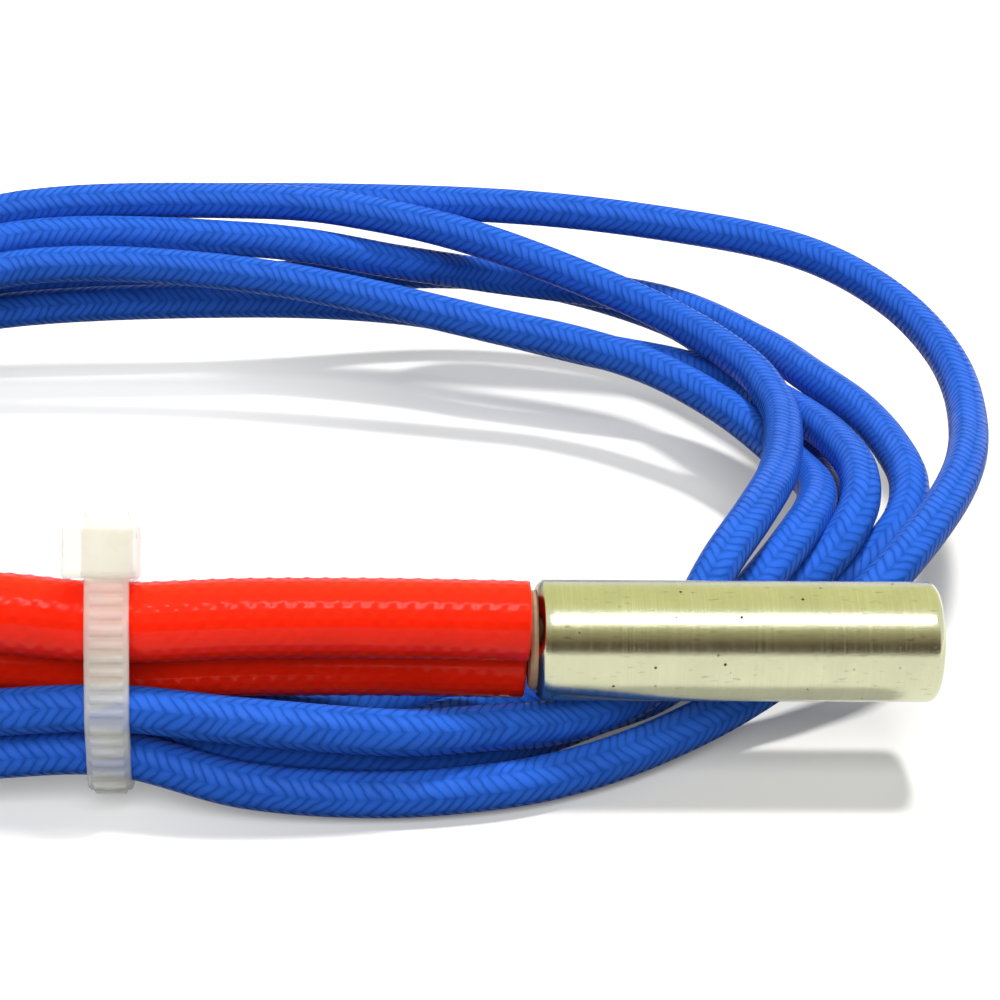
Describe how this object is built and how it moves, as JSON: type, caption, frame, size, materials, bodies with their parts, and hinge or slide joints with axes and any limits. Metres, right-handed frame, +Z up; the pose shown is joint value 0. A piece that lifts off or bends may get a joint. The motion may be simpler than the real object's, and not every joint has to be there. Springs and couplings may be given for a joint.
{
  "type": "cartridge heater",
  "caption": "Cartridge heater: a plain steel barrel with a wound element, red sleeved leads and a coil of blue braided lead held by a cable tie.",
  "frame": {"origin": "on the barrel's axis, where its full diameter starts at the lead end", "axes": "+X along the barrel towards its closed tip, +Z up from the surface that the coil lies on"},
  "size_m": [0.1231, 0.0615, 0.0152],
  "materials": {
    "steel": "fine turned stainless steel",
    "ceramic": "matt fired ceramic",
    "magnesia": "matt compacted powder",
    "seal": "matt beige ceramic",
    "resistance_wire": "dull drawn wire",
    "nickel": "satin nickel",
    "tin": "bright tinned strands",
    "sleeve": "glossy silicone over braided glass fibre",
    "braid": "braided glass fibre, lightly varnished",
    "nylon": "translucent natural nylon"
  },
  "bodies": {
    "root": {"sheath": "steel", "end_disc": "steel", "tip_spacer": "ceramic", "ceramic_core": "ceramic", "heating_coil": "resistance_wire", "insulation_fill": "magnesia", "terminal_pin_front": "nickel", "terminal_pin_rear": "nickel", "end_seal": "seal", "crimp_front": "nickel", "crimp_rear": "nickel", "conductor_front": "nickel", "conductor_rear": "nickel", "sleeve_front": "sleeve", "sleeve_rear": "sleeve", "lead_run_front": "braid", "lead_run_rear": "braid", "lead_coil": "braid", "lead_tail_front": "braid", "lead_tail_rear": "braid", "tinned_end_front": "tin", "tinned_end_rear": "tin", "cable_tie": "nylon"}
  },
  "joints": []
}
